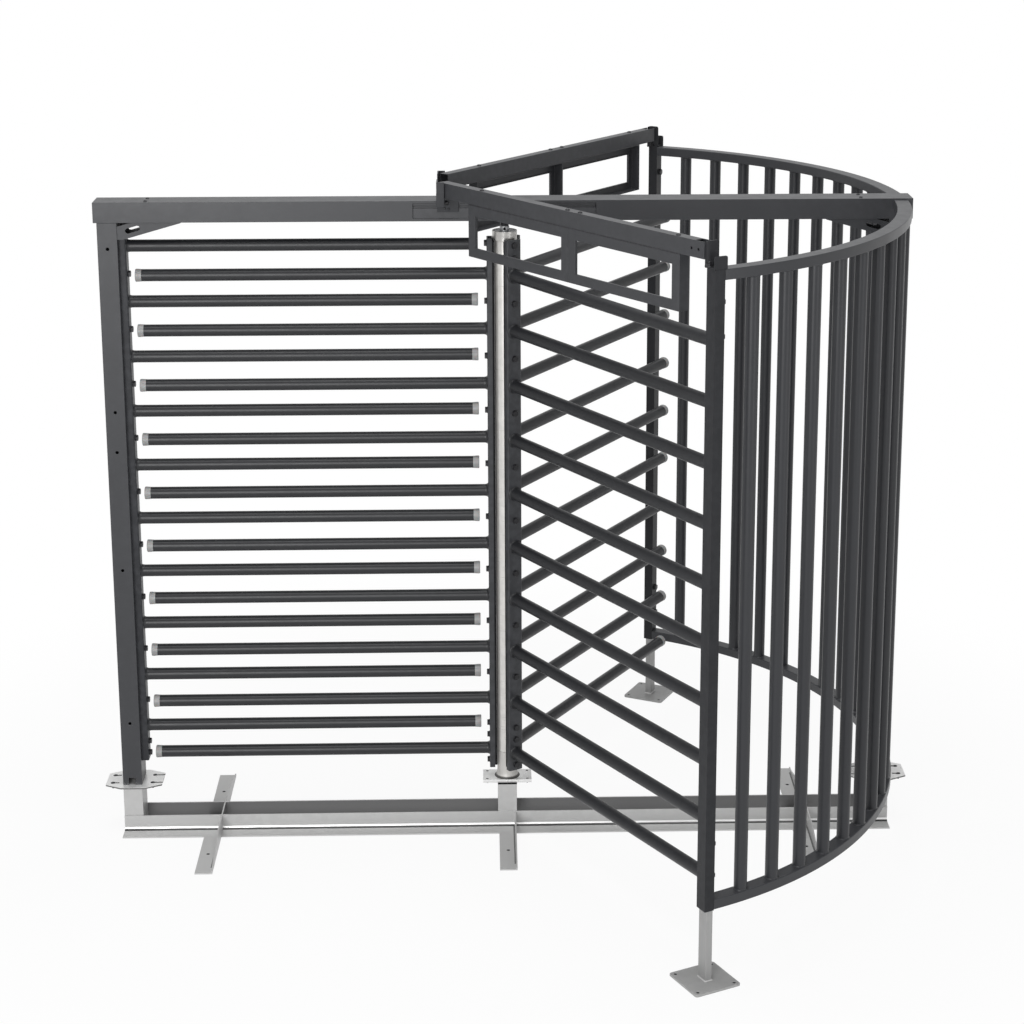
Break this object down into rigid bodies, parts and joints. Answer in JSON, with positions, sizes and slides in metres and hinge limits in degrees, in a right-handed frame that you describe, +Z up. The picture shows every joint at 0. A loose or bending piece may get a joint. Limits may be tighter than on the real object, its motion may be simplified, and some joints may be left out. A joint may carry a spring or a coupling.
{
  "type": "full height turnstile",
  "caption": "Full height turnstile: a three-winged rotor of horizontal bars turns between a fixed comb and a curved cage under a main beam.",
  "frame": {"origin": "on the rotor's axis at floor level", "axes": "+Z up along the rotor's axis, +X along the main beam from the comb to the cage, -Y towards the side that the picture shows"},
  "size_m": [2.97, 2.7056, 2.438],
  "materials": {
    "powder_coat": "satin anthracite powder coat",
    "bare_steel": "satin, unpainted",
    "shaft_steel": "satin, brushed round the axis",
    "machined_steel": "machined",
    "dark_plastic": "matt",
    "circuit_board": "matt",
    "end_cap": "milky, slightly shiny",
    "fastener": "blackened"
  },
  "bodies": {
    "frame": {"main_beam": "powder_coat", "access_cover": "powder_coat", "post_left": "powder_coat", "post_right": "powder_coat", "gusset_left": "powder_coat", "gusset_right": "powder_coat", "floor_plate_left": "bare_steel", "floor_plate_right": "bare_steel", "stub_left": "bare_steel", "stub_right": "bare_steel", "stub_centre": "bare_steel", "pedestal": "shaft_steel", "bottom_bearing": "machined_steel", "base_frame": "bare_steel", "comb": "powder_coat", "cage_front": "powder_coat", "cage_back": "powder_coat", "end_post_front": "powder_coat", "end_post_back": "powder_coat", "leg_front": "bare_steel", "leg_back": "bare_steel", "header_beam_front": "powder_coat", "header_beam_back": "powder_coat", "inner_panel_front": "powder_coat", "inner_panel_back": "powder_coat", "outer_panel_front": "powder_coat", "outer_panel_back": "powder_coat", "root_bracket_front": "powder_coat", "root_bracket_back": "powder_coat", "saddle_front": "powder_coat", "saddle_back": "powder_coat", "mechanism_plate": "machined_steel", "top_bearing": "machined_steel", "pawl_pin_left": "machined_steel", "pawl_pin_right": "machined_steel", "solenoid_left": "dark_plastic", "solenoid_right": "dark_plastic", "control_board": "circuit_board"},
    "rotor": {"rotor_shaft": "shaft_steel", "rotor_cup": "shaft_steel", "rotor_spindle": "machined_steel", "wing_left": "powder_coat", "wing_back": "powder_coat", "wing_front": "powder_coat", "index_wheel": "machined_steel"},
    "locking_pawl_left": {"pawl_left": "machined_steel"},
    "locking_pawl_right": {"pawl_right": "machined_steel"}
  },
  "joints": [
    {"name": "rotor_spin", "type": "hinge", "parent": "frame", "child": "rotor", "pos_m": [0, 0, 0], "axis": [0, 0, 1], "continuous": true},
    {"name": "pawl_right_swing", "type": "hinge", "parent": "frame", "child": "locking_pawl_right", "pos_m": [0.058, 0.034, 2.315], "axis": [0, 0, -1], "range_deg": [0, 17], "stiffness_Nm_per_rad": 0.02},
    {"name": "pawl_left_swing", "type": "hinge", "parent": "frame", "child": "locking_pawl_left", "pos_m": [-0.058, 0.034, 2.315], "axis": [0, 0, 1], "range_deg": [0, 17], "stiffness_Nm_per_rad": 0.02}
  ]
}
